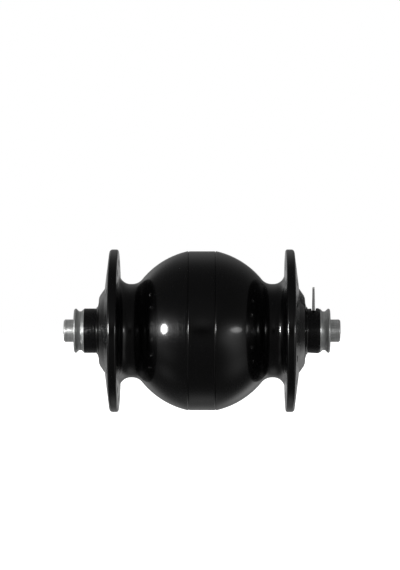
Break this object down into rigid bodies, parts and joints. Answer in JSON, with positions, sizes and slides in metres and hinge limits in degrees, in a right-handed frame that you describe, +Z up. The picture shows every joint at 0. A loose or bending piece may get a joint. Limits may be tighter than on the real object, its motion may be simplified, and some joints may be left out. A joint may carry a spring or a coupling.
{
  "type": "hub dynamo",
  "caption": "Front-wheel hub dynamo: ball-shaped black shell with two drilled spoke flanges that turns on a hollow steel axle and drives a claw-pole generator wired to two tabs.",
  "frame": {"origin": "middle of the hub on the axle's centre line", "axes": "+X along the axle towards the connector end, +Z up along the connector tabs, +Y away from the viewer"},
  "size_m": [0.108, 0.0636, 0.0636],
  "materials": {
    "axle_steel": "fine-turned satin steel",
    "collar_steel": "turned satin steel with lathe marks",
    "sleeve_steel": "turned steel",
    "black_plastic": "matt moulded plastic",
    "tab_metal": "tinned brass",
    "black_shell": "gloss black anodised",
    "black_cap": "gloss black anodised",
    "black_band": "gloss black finish on steel",
    "bearing_steel": "ground and polished",
    "cage_polymer": "moulded polyamide",
    "seal_rubber": "smooth rubber",
    "spring_steel": "dark spring steel",
    "magnet": "nickel-plated magnet",
    "stator_iron": "bare soft iron",
    "bobbin_plastic": "moulded plastic",
    "copper": "enamelled copper wire",
    "red_insulation": "silicone insulation",
    "black_insulation": "silicone insulation"
  },
  "bodies": {
    "axle_assembly": {"axle": "axle_steel", "left_end_collar": "collar_steel", "right_end_collar": "collar_steel", "left_spacer_sleeve": "sleeve_steel", "right_spacer_sleeve": "sleeve_steel", "left_bush": "black_plastic", "connector_block": "black_plastic", "front_connector_tab": "tab_metal", "rear_connector_tab": "tab_metal", "left_inner_race": "bearing_steel", "right_inner_race": "bearing_steel", "stator_core": "stator_iron", "left_claw_poles": "stator_iron", "right_claw_poles": "stator_iron", "coil_bobbin": "bobbin_plastic", "coil_winding": "copper", "stator_key": "sleeve_steel", "stator_washer": "sleeve_steel", "stator_nut": "sleeve_steel", "front_lead_wire": "red_insulation", "rear_lead_wire": "black_insulation"},
    "hub_shell": {"left_shell": "black_shell", "right_shell": "black_shell", "flux_ring": "black_band", "magnets": "magnet", "left_o_ring": "seal_rubber", "right_o_ring": "seal_rubber", "left_outer_race": "bearing_steel", "right_outer_race": "bearing_steel", "left_bearing_seals": "seal_rubber", "right_bearing_seals": "seal_rubber", "left_circlip": "spring_steel", "right_circlip": "spring_steel", "left_dust_cap": "black_cap", "right_dust_cap": "black_cap"},
    "left_ball_set": {"left_bearing_balls": "bearing_steel", "left_ball_cage": "cage_polymer"},
    "right_ball_set": {"right_bearing_balls": "bearing_steel", "right_ball_cage": "cage_polymer"}
  },
  "joints": [
    {"name": "hub_spin", "type": "hinge", "parent": "axle_assembly", "child": "hub_shell", "pos_m": [0, 0, 0], "axis": [1, 0, 0], "continuous": true},
    {"name": "left_ball_roll", "type": "hinge", "parent": "axle_assembly", "child": "left_ball_set", "pos_m": [-0.0333, 0, 0], "axis": [1, 0, 0], "continuous": true},
    {"name": "right_ball_roll", "type": "hinge", "parent": "axle_assembly", "child": "right_ball_set", "pos_m": [0.0333, 0, 0], "axis": [1, 0, 0], "continuous": true}
  ],
  "couplings": [
    {"joint": "left_ball_roll", "follows": "hub_spin", "ratio": 0.63228},
    {"joint": "right_ball_roll", "follows": "hub_spin", "ratio": 0.63228}
  ]
}
